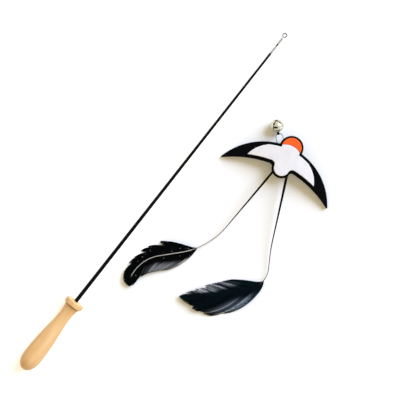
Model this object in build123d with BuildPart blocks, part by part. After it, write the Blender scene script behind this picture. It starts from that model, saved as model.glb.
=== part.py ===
from build123d import *
import os
from math import asin, atan2, cos, degrees, radians, sin, sqrt, tan

# Cat teaser wand, laid flat: a turned handle with a tapered rod and a swivel ring, and beside it the lure,
# a laminated felt bird with two stripped feathers and a jingle bell on a loop of cord.
# The wand points along +X and the lure lies on its -Y side. Lengths are in millimetres, angles in degrees.

# Handle, turned from one piece of beech
handle_length = 98.8
butt_round = 5.5
butt_diameter = 17.0
grip_at = 19.0
grip_diameter = 23.0
palm_behind_collar = 47.1
palm_diameter = 20.6
thumb_behind_collar = 31.2
thumb_diameter = 17.4
waist_behind_collar = 12.7
waist_diameter = 14.9
shoulder_diameter = 18.8
collar_diameter = 23.4
collar_length = 6.4
collar_edge = 1.2

# Rod, glued into the handle and tapered to the tip
rod_root_diameter = 4.8
rod_tip_diameter = 2.7
rod_reach = 368.5
rod_depth = 45.0

# Ferrule, crimped over the rod's tip
ferrule_length = 10.5
ferrule_diameter = 3.2
ferrule_socket = 6.0
ferrule_nose_length = 3.4
ferrule_nose_diameter = 2.8
ferrule_edge = 0.3
crimp_at = 4.4
crimp_width = 1.0
crimp_depth = 0.2

# Swivel pin and barrel, with the flat tang that carries the ring
pin_diameter = 1.7
pin_seat = 2.6
pin_gap = 3.3
pin_head_diameter = 2.2
pin_head_length = 1.0
running_clearance = 0.05
end_play = 0.1
barrel_diameter = 3.0
barrel_length = 9.0
barrel_lip = 1.0
barrel_edge = 0.5
tang_length = 2.4
tang_width = 2.7
tang_thickness = 1.1
tang_root = 0.8
eyelet_diameter = 1.9
ring_diameter = 6.2
ring_wire = 1.3

# Bird, two black felt sheets glued face to face over an arch, with coloured panels on top
wing_half_span = 70.3
lead_rise = 46.2
trail_rise = 20.2
wing_tip_round = 0.8
head_diameter = 27.9
head_ahead = 46.1
neck_fillet = 1.0
tail_diameter = 23.2
tail_ahead = 19.7
tail_fillet = 3.5
arch_height = 10.5
sheet_thickness = 2.0
panel_thickness = 1.0
lead_border = 3.4
trail_border = 4.0
head_border = 2.3
tail_border = 2.5
neck_radius = 19.0
neck_ahead = 29.3
panel_corner = 5.0
panel_end_radius = 36.2
panel_end_ahead = 6.1
panel_end_aside = 8.6
panel_middle_width = 54.0

# Feathers: a stripped quill whose root lies between the sheets, and a vane at its far end
root_ahead = 25.4
root_length = 26.0
left_root_aside = 3.9
left_splay = 13.9
left_root_diameter = 2.7
left_run = 98.0
left_bend_radius = 86.0
left_bend_turn = 41.0
left_straight = 26.5
left_curl_radius = 44.0
left_curl_turn = 71.0
left_vane_start = 141.0
left_vane_reach = 19.0
left_camber_aside = -9.0
right_root_aside = 6.7
right_splay = 14.0
right_root_diameter = 3.0
right_run = 88.0
right_sway_radius = 170.0
right_sway_turn = 6.0
right_lower_run = 16.0
right_bend_radius = 26.0
right_bend_turn = 59.7
right_sweep_radius = 124.0
right_sweep_turn = 26.0
right_straight = 35.0
right_vane_start = 137.0
right_vane_reach = 21.6
right_camber_aside = 12.0
rachis_diameter = 0.9
rachis_tip_diameter = 0.5
vane_thickness = 0.5
vane_crest = 5.4
camber_radius = 44.0

# Each lock of a vane is a run of barbs that cling together, and a split lies between two locks.
# A point is a share of the vane's length and a share of its reach to that side.
left_outer_shares = [
    [(0.0, 0.0), (0.12, 0.30), (0.24, 0.60), (0.33, 0.77), (0.42, 0.87)],
    [(0.39, 0.61), (0.45, 0.64), (0.51, 0.72), (0.60, 0.63)],
    [(0.59, 0.44), (0.66, 0.56), (0.76, 0.51)],
    [(0.765, 0.40), (0.82, 0.50), (0.90, 0.44), (0.97, 0.19), (1.0, -0.08)],
]
left_inner_shares = [
    [(0.0, 0.0), (0.13, 0.31), (0.28, 0.74), (0.36, 0.92), (0.59, 0.85), (0.73, 0.66), (0.815, 0.55)],
    [(0.775, 0.46), (0.89, 0.41), (0.96, 0.28), (1.0, 0.08)],
]
right_outer_shares = [
    [(0.0, 0.0), (0.10, 0.20), (0.24, 0.64), (0.37, 0.86), (0.55, 0.80), (0.70, 0.65)],
    [(0.69, 0.48), (0.80, 0.40), (0.90, 0.28), (0.96, 0.10), (1.0, -0.02)],
]
right_inner_shares = [
    [(0.0, 0.0), (0.09, 0.10), (0.26, 0.56), (0.40, 0.88), (0.52, 0.94)],
    [(0.50, 0.78), (0.57, 0.91), (0.64, 1.0), (0.72, 0.87)],
    [(0.705, 0.74), (0.78, 0.76), (0.85, 0.64)],
    [(0.83, 0.48), (0.92, 0.31), (1.0, 0.02)],
]
rachis_share = 0.93
stem_sections = 24
rachis_sections = 20

# Jingle bell, two pressed shells crimped at the seam, with a slotted cup, a wire eye and a loose pellet
bell_ahead = 62.2
bell_aside = 26.1
bell_diameter = 15.0
bell_wall = 0.45
bell_drop = 36.0
bead_width = 1.4
bead_height = 0.35
slot_width = 1.3
slot_reach = 5.0
slot_hole_diameter = 2.6
slot_turn = 45.0
slot_count = 4
eye_diameter = 2.4
eye_wire = 0.8
rivet_diameter = 1.8
rivet_length = 0.5
pellet_diameter = 4.0
pellet_clearance = 0.15

# Cord loop through the bell's eye, with both ends glued between the sheets at the bird's neck
cord_diameter = 0.8
cord_embed = 4.0
cord_wing_aside = 16.7
cord_wing_stand = 7.4
cord_head_turn = 70.0
cord_head_stand = 5.0
bight_clearance = 0.3
knot_away = 2.3
knot_length = 2.4
knot_diameter = 2.4
knot_round = 0.7
strand_gap = 0.1
bend_share = 0.45

# Places of the two halves on the surface
wand_aside = 76.2
bird_x = 99.9
bird_y = -20.6
bird_turn = 12.0

# Stations along the wand, measured from the butt
collar_at = handle_length - collar_length
palm_at = collar_at - palm_behind_collar
thumb_at = collar_at - thumb_behind_collar
waist_at = collar_at - waist_behind_collar
rod_seat_at = handle_length - rod_depth
ferrule_at = handle_length + rod_reach
rod_end_at = ferrule_at + ferrule_socket
ferrule_end_at = ferrule_at + ferrule_length
pin_seat_at = ferrule_end_at - pin_seat
barrel_at = ferrule_end_at + pin_gap
pin_head_at = barrel_at + barrel_lip + end_play
pin_end_at = pin_head_at + pin_head_length
tang_at = barrel_at + barrel_length
eyelet_at = tang_at + tang_length

# The wand rests on its collar's front edge and on the tang, so its axis falls towards the tip
collar_radius = collar_diameter / 2
barrel_radius = barrel_diameter / 2
wand_tilt = atan2(collar_radius - barrel_radius, eyelet_at - handle_length)
ring_radius = (ring_diameter - ring_wire) / 2
eyelet_height = barrel_radius * cos(wand_tilt)
ring_pitch = asin((eyelet_height - ring_wire / 2) / (2 * ring_radius))
wand_length = eyelet_at * cos(wand_tilt) + 2 * ring_radius * cos(ring_pitch) + ring_wire / 2
wand_way = Vector(cos(wand_tilt), 0, -sin(wand_tilt))
butt = Vector(-wand_length / 2, wand_aside, eyelet_height + eyelet_at * sin(wand_tilt))
wand_axis = Axis(butt, wand_way)
wand_plane = Plane(origin=butt, x_dir=wand_way, z_dir=(0, -1, 0))
eyelet = butt + wand_way * eyelet_at

# The wings' two edges are arcs through both wing tips
lead_radius = (wing_half_span**2 + lead_rise**2) / (2 * lead_rise)
lead_centre = lead_rise - lead_radius
trail_radius = (wing_half_span**2 + trail_rise**2) / (2 * trail_rise)
trail_centre = trail_rise - trail_radius
stack_height = arch_height + 2 * sheet_thickness + panel_thickness
bird_reach = head_ahead + head_diameter
head_way = Vector(cos(radians(bird_turn)), sin(radians(bird_turn)), 0)
left_way = Vector(-head_way.Y, head_way.X, 0)
bird_plane = Plane(origin=(bird_x, bird_y, 0), x_dir=head_way, z_dir=(0, 0, 1))
arch_plane = Plane(origin=(bird_x, bird_y, 0), x_dir=left_way, z_dir=head_way)


def unit(way):
    """The same direction, one long."""
    return way / way.length


# Handle: a swelling grip with a rounded butt, a slim waist and a collar, drilled for the rod
with BuildPart() as handle:
    with BuildSketch(wand_plane) as handle_profile:
        with BuildLine():
            butt_curve = Spline(
                (0, 0),
                (butt_round, butt_diameter / 2),
                (grip_at, grip_diameter / 2),
                tangents=[(0, 1), (1, 0)],
            )
            side = Spline(
                butt_curve @ 1,
                (palm_at, palm_diameter / 2),
                (thumb_at, thumb_diameter / 2),
                (waist_at, waist_diameter / 2),
                (collar_at, shoulder_diameter / 2),
                tangents=[(1, 0), (1, (shoulder_diameter - waist_diameter) / waist_behind_collar)],
            )
            Polyline(
                side @ 1,
                (collar_at, collar_radius),
                (handle_length, collar_radius),
                (handle_length, rod_root_diameter / 2),
                (rod_seat_at, rod_root_diameter / 2),
                (rod_seat_at, 0),
                butt_curve @ 0,
            )
        make_face()
        fillet(handle_profile.vertices().group_by(Axis.Y)[-1], collar_edge)
    revolve(axis=wand_axis)

# Rod: straight in the handle, one long taper, then straight again inside the ferrule
with BuildPart() as rod:
    with BuildSketch(wand_plane):
        with BuildLine():
            Polyline(
                (rod_seat_at, 0),
                (rod_seat_at, rod_root_diameter / 2),
                (handle_length, rod_root_diameter / 2),
                (ferrule_at, rod_tip_diameter / 2),
                (rod_end_at, rod_tip_diameter / 2),
                (rod_end_at, 0),
                close=True,
            )
        make_face()
    revolve(axis=wand_axis)

# Ferrule: a sleeve over the rod's tip with a rolled crimp, stepping down to a nose that holds the pin
with BuildPart() as tip_ferrule:
    with BuildSketch(wand_plane) as ferrule_profile:
        with BuildLine():
            Polyline(
                (ferrule_at, rod_tip_diameter / 2),
                (ferrule_at, ferrule_diameter / 2),
                (ferrule_end_at - ferrule_nose_length, ferrule_diameter / 2),
                (ferrule_end_at - ferrule_nose_length, ferrule_nose_diameter / 2),
                (ferrule_end_at, ferrule_nose_diameter / 2),
                (ferrule_end_at, pin_diameter / 2),
                (pin_seat_at, pin_diameter / 2),
                (pin_seat_at, 0),
                (rod_end_at, 0),
                (rod_end_at, rod_tip_diameter / 2),
                close=True,
            )
        make_face()
        with Locations((ferrule_at + crimp_at, ferrule_diameter / 2)):
            Ellipse(crimp_width / 2, crimp_depth, mode=Mode.SUBTRACT)
        nose_corner = (ferrule_end_at, ferrule_nose_diameter / 2)
        fillet(ferrule_profile.vertices().sort_by_distance(nose_corner)[0], ferrule_edge)
    revolve(axis=wand_axis)

# Swivel pin: pressed into the ferrule's nose, with a head that turns inside the barrel
with BuildPart() as swivel_pin:
    with BuildSketch(wand_plane):
        with BuildLine():
            Polyline(
                (pin_seat_at, 0),
                (pin_seat_at, pin_diameter / 2),
                (pin_head_at, pin_diameter / 2),
                (pin_head_at, pin_head_diameter / 2),
                (pin_end_at, pin_head_diameter / 2),
                (pin_end_at, 0),
                close=True,
            )
        make_face()
    revolve(axis=wand_axis)

# Swivel barrel: a capsule rolled in behind the pin's head, its front end flattened into an eyed tang
with BuildPart() as swivel_barrel:
    with BuildSketch(wand_plane) as barrel_profile:
        with BuildLine():
            Polyline(
                (barrel_at, pin_diameter / 2 + running_clearance),
                (barrel_at, barrel_radius),
                (tang_at, barrel_radius),
                (tang_at, 0),
                (pin_end_at + end_play, 0),
                (pin_end_at + end_play, pin_head_diameter / 2 + running_clearance),
                (pin_head_at - end_play, pin_head_diameter / 2 + running_clearance),
                (pin_head_at - end_play, pin_diameter / 2 + running_clearance),
                close=True,
            )
        make_face()
        fillet(barrel_profile.vertices().group_by(Axis.Y)[-1], barrel_edge)
    revolve(axis=wand_axis)
    with BuildSketch(wand_plane):
        with Locations((eyelet_at, 0)):
            Circle(tang_width / 2)
            Rectangle(tang_length + tang_root, tang_width, align=(Align.MAX, Align.CENTER))
            Circle(eyelet_diameter / 2, mode=Mode.SUBTRACT)
    extrude(amount=tang_thickness / 2, both=True)

# Tip ring: a closed wire ring through the tang, dropped until its far side touches the surface
ring_way = Vector(cos(ring_pitch), 0, -sin(ring_pitch))
ring_plane = Plane(origin=eyelet + ring_way * ring_radius, x_dir=ring_way, z_dir=(sin(ring_pitch), 0, cos(ring_pitch)))
with BuildPart(ring_plane) as tip_ring:
    Torus(ring_radius, ring_wire / 2)

# The bird's outline: a crescent of wings, a round head and a round tail
with BuildSketch(bird_plane) as bird_outline:
    with Locations((lead_centre, 0)):
        Circle(lead_radius)
    with Locations((trail_centre, 0)):
        Circle(trail_radius, mode=Mode.SUBTRACT)
    with Locations((tail_ahead, 0)):
        Circle(tail_diameter / 2)
    with Locations((head_ahead, 0)):
        Circle(head_diameter / 2)
    fillet(bird_outline.vertices().group_by(Axis.X)[2], neck_fillet)
    fillet(bird_outline.vertices().group_by(Axis.X)[1], tail_fillet)
    fillet(bird_outline.vertices().group_by(Axis.X)[0], wing_tip_round)

# Seen from the front the sheets follow one arch, whose lower face meets the surface at the rounded wing tips
wing_reach = bird_outline.sketch_local.bounding_box().max.Y
arch_radius = (wing_reach**2 + arch_height**2) / (2 * arch_height)
arch_centre = arch_height - arch_radius
glue_radius = arch_radius + sheet_thickness
top_radius = glue_radius + sheet_thickness

# The white body panel: the crescent drawn in by its border, ending round on each wing
with BuildSketch() as panel_ends:
    with Locations((panel_end_ahead, panel_end_aside), (panel_end_ahead, -panel_end_aside)):
        Circle(panel_end_radius)
    Rectangle(2 * bird_reach, panel_middle_width)
with BuildSketch() as panel_neck:
    with Locations((head_ahead, 0)):
        Circle(head_diameter / 2 - head_border)
    with Locations((neck_ahead, 0)):
        Circle(neck_radius, mode=Mode.INTERSECT)
with BuildSketch(bird_plane) as body_outline:
    with Locations((lead_centre, 0)):
        Circle(lead_radius - lead_border)
    with Locations((trail_centre, 0)):
        Circle(trail_radius + trail_border, mode=Mode.SUBTRACT)
    add(panel_ends.sketch, mode=Mode.INTERSECT)
    with Locations((tail_ahead, 0)):
        Circle(tail_diameter / 2 - tail_border)
    add(panel_neck.sketch)
    for tail_side in (-tail_diameter / 2, tail_diameter / 2):
        fillet(body_outline.vertices().sort_by_distance((tail_ahead, tail_side))[0], panel_corner)

# The orange head panel: the head's disc in front of the body panel's round neck
with BuildSketch(bird_plane) as head_outline:
    with Locations((head_ahead, 0)):
        Circle(head_diameter / 2 - head_border)
    with Locations((neck_ahead, 0)):
        Circle(neck_radius, mode=Mode.SUBTRACT)


def bird_point(ahead, aside, height):
    """A place given from the middle of the wing tips: towards the head, towards the left wing, and up."""
    return bird_plane.from_local_coords(Vector(ahead, aside, height))


def glue_height(aside):
    """Height of the seam between the two sheets, this far from the bird's middle."""
    return arch_centre + sqrt(glue_radius**2 - aside**2)


def arch_band(inner_radius, thickness):
    """The bird's front view of one layer: a band between two arcs about the arch's centre."""
    with BuildSketch(arch_plane) as band:
        with Locations((0, arch_centre)):
            Circle(inner_radius + thickness)
            Circle(inner_radius, mode=Mode.SUBTRACT)
    return band.sketch


def root_groove(aside, splay, diameter):
    """End face of a quill's root, and the direction in which the quill leaves the bird."""
    way = unit(bird_point(-cos(splay), sin(splay), 0) - bird_point(0, 0, 0))
    root = bird_point(root_ahead, aside, glue_height(aside))
    with BuildSketch(Plane(origin=root, x_dir=Vector(-way.Y, way.X, 0), z_dir=way)) as face:
        Circle(diameter / 2)
    return face.sketch


# Where the cord leaves the seam: one end beside the neck on the wing, one on the head's side
cord_radius = cord_diameter / 2
wing_exit_ahead = lead_centre + sqrt(lead_radius**2 - cord_wing_aside**2)
wing_exit = bird_point(wing_exit_ahead, cord_wing_aside, glue_height(cord_wing_aside))
head_exit_ahead = head_ahead + head_diameter / 2 * cos(radians(cord_head_turn))
head_exit_aside = head_diameter / 2 * sin(radians(cord_head_turn))
head_exit = bird_point(head_exit_ahead, head_exit_aside, glue_height(head_exit_aside))

# The bell lies on the surface, and its eye, the loop and the seam share one upright plane
bell_radius = bell_diameter / 2
bell_inner = bell_radius - bell_wall
bell_centre = bird_point(bell_ahead, bell_aside, bell_radius)
loop_middle = (wing_exit + head_exit) / 2
loop_way = unit(Vector(loop_middle.X - bell_centre.X, loop_middle.Y - bell_centre.Y, 0))
loop_side = Vector(0, 0, 1).cross(loop_way)
bell_way = loop_way * cos(radians(bell_drop)) - Vector(0, 0, 1) * sin(radians(bell_drop))
bell_down = loop_way * sin(radians(bell_drop)) + Vector(0, 0, 1) * cos(radians(bell_drop))
eye_radius = eye_diameter / 2
eye_centre = bell_centre + bell_way * (bell_radius + eye_radius + eye_wire / 2)
bell_plane = Plane(origin=bell_centre, x_dir=bell_way, z_dir=loop_side)
bell_axis = Axis(bell_centre, bell_way)

left_groove = root_groove(left_root_aside, radians(left_splay), left_root_diameter)
right_groove = root_groove(-right_root_aside, -radians(right_splay), right_root_diameter)


def cord_groove(cord_exit):
    """End face of the cord inside the seam."""
    with BuildSketch(Plane(origin=cord_exit + loop_way * cord_embed, z_dir=-loop_way)) as face:
        Circle(cord_radius)
    return face.sketch


wing_groove = cord_groove(wing_exit)
head_groove = cord_groove(head_exit)

# Lower sheet: arched so that the wing tips rest on the surface, grooved for the quills and the cord
with BuildPart() as lower_wing_sheet:
    extrude(bird_outline.sketch, amount=stack_height)
    extrude(arch_band(arch_radius, sheet_thickness), amount=bird_reach, both=True, mode=Mode.INTERSECT)
    extrude(left_groove, amount=root_length, mode=Mode.SUBTRACT)
    extrude(right_groove, amount=root_length, mode=Mode.SUBTRACT)
    extrude(wing_groove, amount=cord_embed + cord_wing_stand, mode=Mode.SUBTRACT)
    extrude(head_groove, amount=cord_embed + cord_head_stand, mode=Mode.SUBTRACT)

# Upper sheet: the same outline glued on top, with the other half of each groove
with BuildPart() as upper_wing_sheet:
    extrude(bird_outline.sketch, amount=stack_height)
    extrude(arch_band(glue_radius, sheet_thickness), amount=bird_reach, both=True, mode=Mode.INTERSECT)
    extrude(left_groove, amount=root_length, mode=Mode.SUBTRACT)
    extrude(right_groove, amount=root_length, mode=Mode.SUBTRACT)
    extrude(wing_groove, amount=cord_embed + cord_wing_stand, mode=Mode.SUBTRACT)
    extrude(head_groove, amount=cord_embed + cord_head_stand, mode=Mode.SUBTRACT)

# Body panel: white felt on the upper sheet
with BuildPart() as body_panel:
    extrude(body_outline.sketch, amount=stack_height)
    extrude(arch_band(top_radius, panel_thickness), amount=bird_reach, both=True, mode=Mode.INTERSECT)

# Head panel: orange felt on the upper sheet
with BuildPart() as head_panel:
    extrude(head_outline.sketch, amount=stack_height)
    extrude(arch_band(top_radius, panel_thickness), amount=bird_reach, both=True, mode=Mode.INTERSECT)

# Plan of each quill: straight out of the bird, then bending and curling along the vane
left_root = Vector(root_ahead, left_root_aside)
right_root = Vector(root_ahead, -right_root_aside)
left_heading = 180 - left_splay
right_heading = 180 + right_splay
with BuildLine() as left_line:
    run = PolarLine(left_root, left_run, left_heading)
    bend = JernArc(run @ 1, run % 1, left_bend_radius, -left_bend_turn)
    straight = PolarLine(bend @ 1, left_straight, direction=bend % 1)
    JernArc(straight @ 1, straight % 1, left_curl_radius, left_curl_turn)
with BuildLine() as right_line:
    run = PolarLine(right_root, right_run, right_heading)
    sway = JernArc(run @ 1, run % 1, right_sway_radius, right_sway_turn)
    lower_run = PolarLine(sway @ 1, right_lower_run, direction=sway % 1)
    bend = JernArc(lower_run @ 1, lower_run % 1, right_bend_radius, -right_bend_turn)
    sweep_round = JernArc(bend @ 1, bend % 1, right_sweep_radius, -right_sweep_turn)
    PolarLine(sweep_round @ 1, right_straight, direction=sweep_round % 1)
left_plan = left_line.wire().moved(bird_plane.location)
right_plan = right_line.wire().moved(bird_plane.location)


def plan_point(plan, along):
    """The plan's point this far from the quill's root, the way it heads there, and the way to its left."""
    place = plan.position_at(along, position_mode=PositionMode.LENGTH)
    way = plan.tangent_at(along, position_mode=PositionMode.LENGTH)
    return place, way, Vector(-way.Y, way.X, 0)


def chord_plane(plan, vane_start, camber_aside):
    """Upright plane across a vane, facing its tip, with its origin under the vane's crest line."""
    base = plan_point(plan, vane_start)[0]
    chord = unit(plan @ 1 - base)
    across = Vector(-chord.Y, chord.X, 0)
    return Plane(origin=base + across * camber_aside, x_dir=across, z_dir=chord)


def vane_height(plane, place):
    """Height of the cambered vane's middle surface over a place."""
    aside = plane.to_local_coords(place).X
    return vane_crest - vane_thickness / 2 - camber_radius + sqrt(camber_radius**2 - aside**2)


def quill(plan, root_aside, groove, root_diameter, vane_start, plane):
    """A quill: round and straight at the root, then tapering as it droops and runs on as the vane's rachis."""
    root_height = glue_height(root_aside)
    base_height = vane_height(plane, plan_point(plan, vane_start)[0])
    stem = vane_start - root_length
    rachis = (plan.length - vane_start) * rachis_share
    stations = [root_length + stem * rank / stem_sections for rank in range(stem_sections)]
    stations += [vane_start + rachis * rank / rachis_sections for rank in range(rachis_sections + 1)]
    places = []
    radii = []
    for along in stations:
        place = plan_point(plan, along)[0]
        if along < vane_start:
            share = (along - root_length) / stem
            droop_share = share * share * (3 - 2 * share)
            height = root_height + (base_height - root_height) * droop_share
            diameter = rachis_diameter + (root_diameter - rachis_diameter) * (1 - share) ** 2
        else:
            share = (along - vane_start) / (plan.length - vane_start)
            height = vane_height(plane, place)
            diameter = rachis_diameter + (rachis_tip_diameter - rachis_diameter) * share
        places.append(Vector(place.X, place.Y, height))
        radii.append(diameter / 2)
    with BuildPart() as piece:
        extrude(groove, amount=root_length)
        for rank, (along, place, radius) in enumerate(zip(stations, places, radii)):
            before = places[max(rank - 1, 0)]
            after = places[min(rank + 1, len(places) - 1)]
            level = plan_point(plan, along)[2]
            way = -level.cross(Vector(0, 0, 1)) if rank == 0 else after - before
            with BuildSketch(Plane(origin=place, x_dir=level, z_dir=way)):
                Circle(radius)
        loft()
    return piece


def vane_outline(plan, vane_start, reach, outer_shares, inner_shares):
    """Plan of a vane: smooth locks of barbs along both sides of the rachis, with straight splits between them."""
    vane_length = plan.length - vane_start
    with BuildSketch() as outline:
        with BuildLine():
            for locks, sign in ((outer_shares, -1), (inner_shares, 1)):
                ending = None
                for lock in locks:
                    points = []
                    for along_share, width_share in lock:
                        place, way, left = plan_point(plan, vane_start + along_share * vane_length)
                        points.append(place + left * (sign * width_share * reach))
                    if ending is not None:
                        Line(ending, points[0])
                    Spline(*points)
                    ending = points[-1]
        make_face()
    return outline.sketch


def vane(outline, plane, piece_quill):
    """A vane: its plan bent over a camber, thin, and parted along the middle by the rachis."""
    with BuildPart() as piece:
        extrude(outline, amount=vane_crest)
        with BuildSketch(plane):
            with Locations((0, vane_crest - vane_thickness - camber_radius)):
                Circle(camber_radius + vane_thickness)
                Circle(camber_radius, mode=Mode.SUBTRACT)
        extrude(amount=left_run + right_run, both=True, mode=Mode.INTERSECT)
        add(piece_quill.part, mode=Mode.SUBTRACT)
    return piece


left_chord = chord_plane(left_plan, left_vane_start, left_camber_aside)
left_quill = quill(left_plan, left_root_aside, left_groove, left_root_diameter, left_vane_start, left_chord)
left_edge = vane_outline(left_plan, left_vane_start, left_vane_reach, left_outer_shares, left_inner_shares)
left_vane = vane(left_edge, left_chord, left_quill)

right_chord = chord_plane(right_plan, right_vane_start, right_camber_aside)
right_quill = quill(right_plan, right_root_aside, right_groove, right_root_diameter, right_vane_start, right_chord)
right_edge = vane_outline(right_plan, right_vane_start, right_vane_reach, right_outer_shares, right_inner_shares)
right_vane = vane(right_edge, right_chord, right_quill)

# Cord: out of the seam, down to the knot, round the wire of the bell's eye and back up
wing_stand = wing_exit - loop_way * cord_wing_stand
head_stand = head_exit - loop_way * cord_head_stand
cord_way = unit((wing_stand + head_stand) / 2 - eye_centre)
eye_top = eye_centre + cord_way * eye_radius
bight_radius = eye_wire / 2 + cord_radius + bight_clearance
knot_centre = eye_top + cord_way * knot_away
strand_aside = cord_radius + strand_gap / 2
cord_route = [
    wing_exit + loop_way * cord_embed,
    wing_stand,
    knot_centre - loop_side * strand_aside,
    eye_top - cord_way * bight_radius - loop_side * bight_radius,
    eye_top - cord_way * bight_radius + loop_side * bight_radius,
    knot_centre + loop_side * strand_aside,
    head_stand,
    head_exit + loop_way * cord_embed,
]
cord_bends = []
for before, corner, after in zip(cord_route, cord_route[1:], cord_route[2:]):
    turn = radians((corner - before).get_angle(after - corner))
    shorter_run = min((corner - before).length, (after - corner).length)
    cord_bends.append(bend_share * shorter_run / tan(turn / 2))
with BuildPart() as cord_loop:
    with BuildLine() as cord_line:
        FilletPolyline(*cord_route, radius=cord_bends)
    with BuildSketch(Plane(origin=cord_line.wire() @ 0, z_dir=cord_line.wire() % 0)):
        Circle(cord_radius)
    sweep()
print("cord bend radii", [round(bend, 2) for bend in cord_bends])
print("cord length", round(cord_line.wire().length, 2))
print("cord route", [tuple(round(value, 2) for value in point) for point in cord_route])

# Knot: a whipping of thread that binds the two strands above the bell
with BuildPart() as loop_knot:
    with BuildSketch(Plane(origin=knot_centre, x_dir=cord_way, z_dir=loop_side)) as knot_profile:
        Rectangle(knot_length, knot_diameter / 2, align=(Align.CENTER, Align.MIN))
        fillet(knot_profile.vertices().group_by(Axis.Y)[-1], knot_round)
    revolve(axis=Axis(knot_centre, cord_way))
    add(cord_loop.part, mode=Mode.SUBTRACT)

# Bell cap: the half with the eye, its rim rolled out over the seam
with BuildPart() as bell_cap:
    with BuildSketch(bell_plane):
        with BuildLine():
            outer = CenterArc((0, 0), bell_radius, 0, 90)
            inner = CenterArc((0, 0), bell_inner, 0, 90)
            Line(outer @ 0, inner @ 0)
            Line(outer @ 1, inner @ 1)
        make_face()
        with BuildLine():
            Polyline(
                (-bead_width / 2, bell_radius),
                (-bead_width / 2, bell_radius + bead_height),
                (bead_width / 2, bell_radius + bead_height),
                (bead_width / 2, bell_radius - bell_wall / 2),
                (0, bell_radius - bell_wall / 2),
                (0, bell_radius),
                close=True,
            )
        make_face()
    revolve(axis=bell_axis)
    with BuildSketch(Plane(origin=bell_centre, z_dir=bell_way)):
        Circle(eye_wire / 2)
    extrude(amount=bell_diameter, mode=Mode.SUBTRACT)

# Bell cup: the other half, with crossed slots that end in round holes
with BuildPart() as bell_cup:
    with BuildSketch(bell_plane):
        with BuildLine():
            outer = CenterArc((0, 0), bell_radius, 90, 90)
            inner = CenterArc((0, 0), bell_inner, 90, 90)
            Line(outer @ 0, inner @ 0)
            Line(outer @ 1, inner @ 1)
        make_face()
    revolve(axis=bell_axis)
    with BuildSketch(Plane(origin=bell_centre, x_dir=loop_side, z_dir=-bell_way)):
        with PolarLocations(slot_reach, slot_count, start_angle=slot_turn):
            Circle(slot_hole_diameter / 2)
        for turn in range(0, 180, 360 // slot_count):
            SlotCenterToCenter(2 * slot_reach, slot_width, rotation=slot_turn + turn)
    extrude(amount=bell_diameter, mode=Mode.SUBTRACT)

# Bell eye: a wire ring on a shank that is riveted inside the cap
rivet_at = sqrt(bell_inner**2 - (rivet_diameter / 2) ** 2)
with BuildPart(Plane(origin=eye_centre, x_dir=bell_way, z_dir=loop_side)) as bell_eye:
    Torus(eye_radius, eye_wire / 2)
    with BuildSketch(Plane(origin=bell_centre + bell_way * rivet_at, z_dir=-bell_way)):
        Circle(rivet_diameter / 2)
    extrude(amount=rivet_length)
    with BuildSketch(Plane(origin=bell_centre + bell_way * rivet_at, z_dir=bell_way)):
        Circle(eye_wire / 2)
    extrude(amount=bell_radius + eye_wire / 2 - rivet_at)

# Pellet: a loose ball at the bottom of the bell
pellet_way = bell_inner - pellet_diameter / 2 - pellet_clearance
with BuildPart(Plane(origin=bell_centre - bell_down * pellet_way)) as bell_pellet:
    Sphere(pellet_diameter / 2)

pieces = {
    "handle": handle,
    "rod": rod,
    "tip_ferrule": tip_ferrule,
    "swivel_pin": swivel_pin,
    "swivel_barrel": swivel_barrel,
    "tip_ring": tip_ring,
    "lower_wing_sheet": lower_wing_sheet,
    "upper_wing_sheet": upper_wing_sheet,
    "body_panel": body_panel,
    "head_panel": head_panel,
    "left_quill": left_quill,
    "right_quill": right_quill,
    "left_vane": left_vane,
    "right_vane": right_vane,
    "cord_loop": cord_loop,
    "loop_knot": loop_knot,
    "bell_cap": bell_cap,
    "bell_cup": bell_cup,
    "bell_eye": bell_eye,
    "bell_pellet": bell_pellet,
}
os.makedirs("parts", exist_ok=True)
for name, piece in pieces.items():
    piece.part.label = name
    export_step(piece.part, f"parts/{name}.step")
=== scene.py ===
"""Looks for a cat teaser wand and its lure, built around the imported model."""

import math
import random

import bmesh
import bpy
from mathutils import Matrix, Vector, noise


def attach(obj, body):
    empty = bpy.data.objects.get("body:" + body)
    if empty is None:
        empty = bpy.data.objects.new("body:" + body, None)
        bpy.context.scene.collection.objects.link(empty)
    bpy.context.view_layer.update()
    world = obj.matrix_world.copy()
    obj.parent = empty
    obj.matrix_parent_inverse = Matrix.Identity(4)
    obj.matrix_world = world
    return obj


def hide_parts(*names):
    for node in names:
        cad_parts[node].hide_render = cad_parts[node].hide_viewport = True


bl_info = {
    "name": "Cat Teaser Wand",
    "version": (1, 0, 0),
    "blender": (4, 5, 0),
    "location": "View3D > Sidebar > Teaser",
    "description": "Dresses a teaser wand with a felt bird lure, feathers and a jingle bell",
    "category": "Object",
}

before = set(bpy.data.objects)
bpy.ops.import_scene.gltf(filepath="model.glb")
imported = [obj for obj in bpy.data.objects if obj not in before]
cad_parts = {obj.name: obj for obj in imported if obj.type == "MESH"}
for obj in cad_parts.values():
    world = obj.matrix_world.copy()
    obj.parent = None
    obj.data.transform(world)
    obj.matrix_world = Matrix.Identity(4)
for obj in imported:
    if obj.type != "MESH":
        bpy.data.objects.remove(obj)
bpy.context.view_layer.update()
MM = 0.001
WHITE = (1.0, 1.0, 1.0, 1.0)

# The lure's own frame: the middle of the wing tips, in millimetres, and its turn from the wand
BIRD_PLACE = Vector((99.9, -20.6))
BIRD_TURN = math.radians(12.0)

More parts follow.
